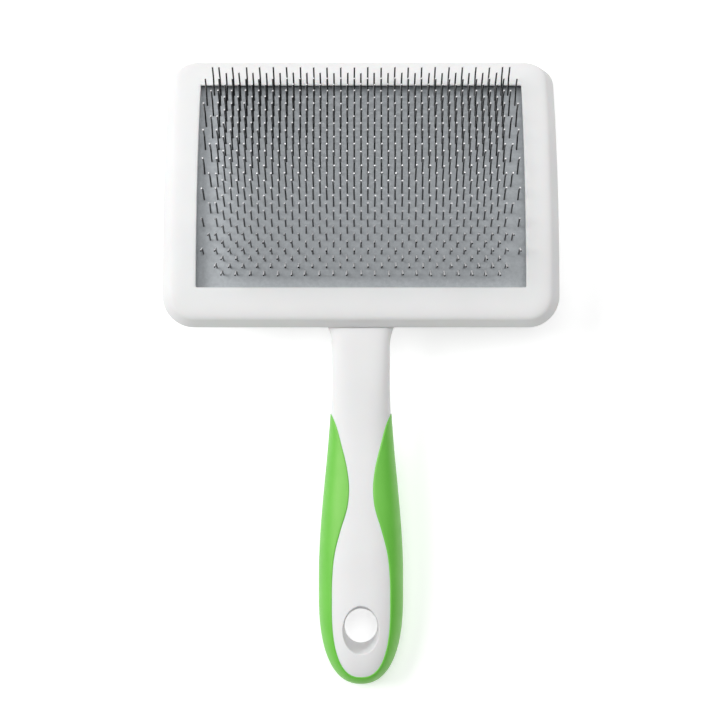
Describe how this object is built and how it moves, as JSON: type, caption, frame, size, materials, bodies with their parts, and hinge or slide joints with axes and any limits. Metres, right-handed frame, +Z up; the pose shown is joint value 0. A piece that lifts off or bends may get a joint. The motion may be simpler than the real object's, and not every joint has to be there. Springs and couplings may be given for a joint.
{
  "type": "slicker brush",
  "caption": "Pet grooming slicker brush: a curved rectangular head of bent wire pins on a cushioned pad, and a straight handle with a soft grip and a hang hole.",
  "frame": {"origin": "centre of the footprint on the surface the brush lies on, pins up, resting on the back of the head and of the handle", "axes": "+X across the brush, +Y from the handle's end towards the head, +Z up out of the pin side; the handle rises 7.5 degrees from -Y to the head"},
  "size_m": [0.1178, 0.1899, 0.0417],
  "materials": {
    "white_plastic": "satin white ABS",
    "green_grip": "smooth soft-touch rubber, apple green",
    "grey_sheet": "matt grey rubber-faced foundation sheet",
    "white_foam": "open-cell foam",
    "steel_wire": "bright drawn steel wire"
  },
  "bodies": {
    "brush": {"handle_body": "white_plastic", "front_frame": "white_plastic", "grip_sleeve": "green_grip", "foam_cushion": "white_foam"},
    "pin_bed": {"pin_pad": "grey_sheet", "pin_row_01": "steel_wire", "pin_row_02": "steel_wire", "pin_row_03": "steel_wire", "pin_row_04": "steel_wire", "pin_row_05": "steel_wire", "pin_row_06": "steel_wire", "pin_row_07": "steel_wire", "pin_row_08": "steel_wire", "pin_row_09": "steel_wire", "pin_row_10": "steel_wire", "pin_row_11": "steel_wire", "pin_row_12": "steel_wire", "pin_row_13": "steel_wire", "pin_row_14": "steel_wire", "pin_row_15": "steel_wire", "pin_row_16": "steel_wire", "pin_row_17": "steel_wire", "pin_row_18": "steel_wire", "pin_row_19": "steel_wire", "pin_row_20": "steel_wire", "pin_row_21": "steel_wire", "pin_row_22": "steel_wire", "pin_row_23": "steel_wire", "pin_row_24": "steel_wire", "pin_row_25": "steel_wire", "pin_row_26": "steel_wire", "pin_row_27": "steel_wire", "pin_row_28": "steel_wire", "pin_row_29": "steel_wire", "pin_row_30": "steel_wire"}
  },
  "joints": [
    {"name": "pin_bed_slide", "type": "slide", "parent": "brush", "child": "pin_bed", "axis": [0, 0.2706, 0.9627], "range_m": [-0.001, 0], "stiffness_N_per_m": 4000, "springref_m": 0.0005, "deforming": ["foam_cushion"]}
  ]
}
